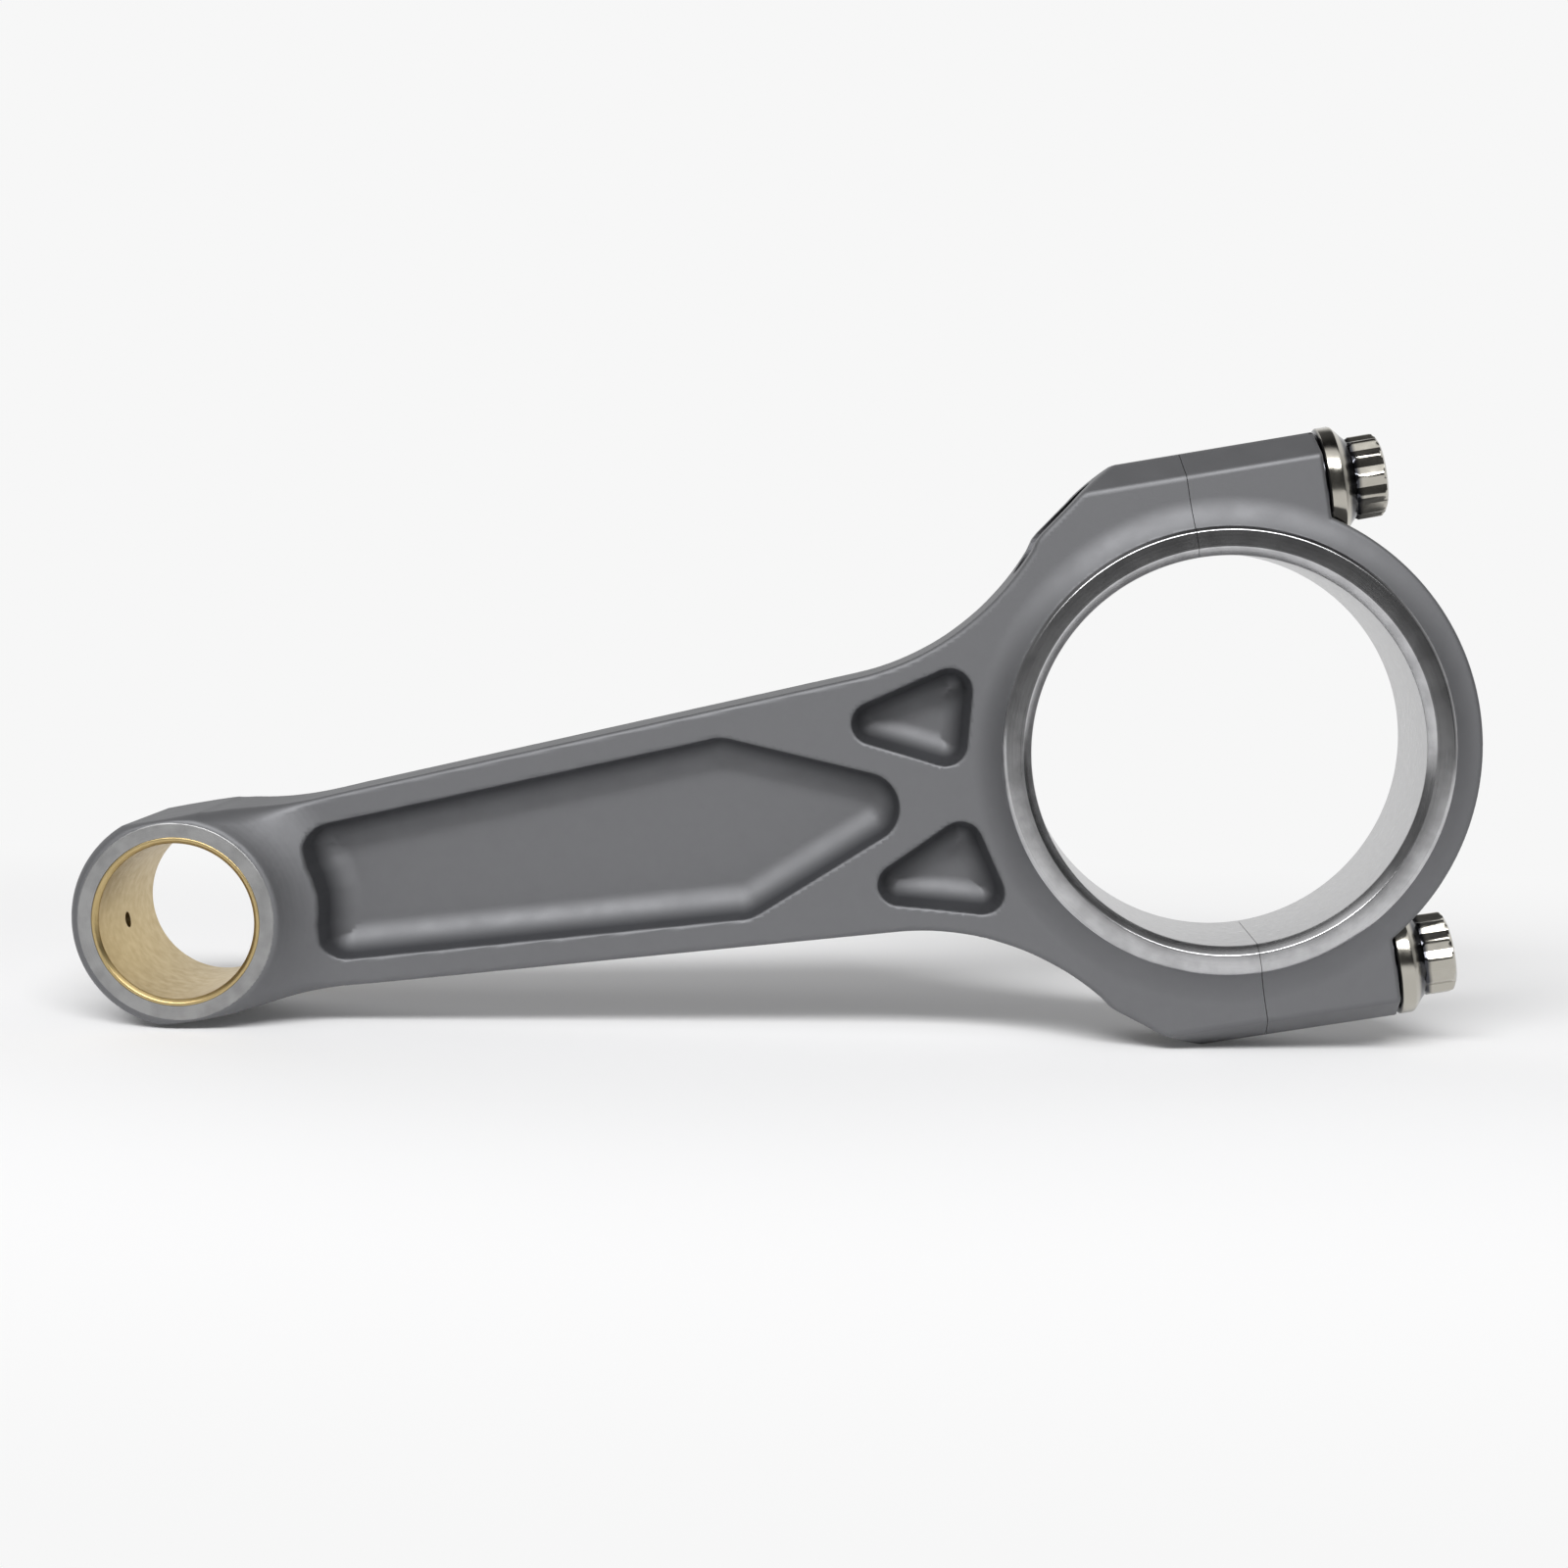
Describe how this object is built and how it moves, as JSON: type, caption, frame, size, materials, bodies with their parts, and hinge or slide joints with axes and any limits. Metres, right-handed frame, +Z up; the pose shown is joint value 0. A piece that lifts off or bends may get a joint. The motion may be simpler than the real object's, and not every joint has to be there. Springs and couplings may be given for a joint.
{
  "type": "engine connecting rod",
  "caption": "Forged I-beam connecting rod with a bolted cap: a bronze-bushed wrist-pin eye, pocketed beam and a split, chamfered crank bore.",
  "frame": {"origin": "centre of the crank bore, midway between the two thrust faces", "axes": "+Y along both bores, +Z up with the rod lying on its edge on a level floor, +X towards the cap; the rod's own axis rises 10.43 degrees towards the cap, as it does at rest"},
  "size_m": [0.2057, 0.0276, 0.0915],
  "materials": {
    "forging": "shot peened, satin",
    "bronze": "honed bronze",
    "bolt": "bright, nickel tone",
    "sleeve": "ground"
  },
  "bodies": {
    "rod": {"rod_body": "forging", "pin_bushing": "bronze", "upper_alignment_sleeve": "sleeve", "lower_alignment_sleeve": "sleeve"},
    "cap": {"rod_cap": "forging"},
    "upper_bolt": {"upper_cap_bolt": "bolt"},
    "lower_bolt": {"lower_cap_bolt": "bolt"}
  },
  "joints": [
    {"name": "cap_slide", "type": "slide", "parent": "rod", "child": "cap", "axis": [0.9835, 0, 0.181], "range_m": [0, 0.04]},
    {"name": "upper_bolt_slide", "type": "slide", "parent": "cap", "child": "upper_bolt", "axis": [0.9835, 0, 0.181], "range_m": [0, 0.035]},
    {"name": "lower_bolt_slide", "type": "slide", "parent": "cap", "child": "lower_bolt", "axis": [0.9835, 0, 0.181], "range_m": [0, 0.035]}
  ]
}
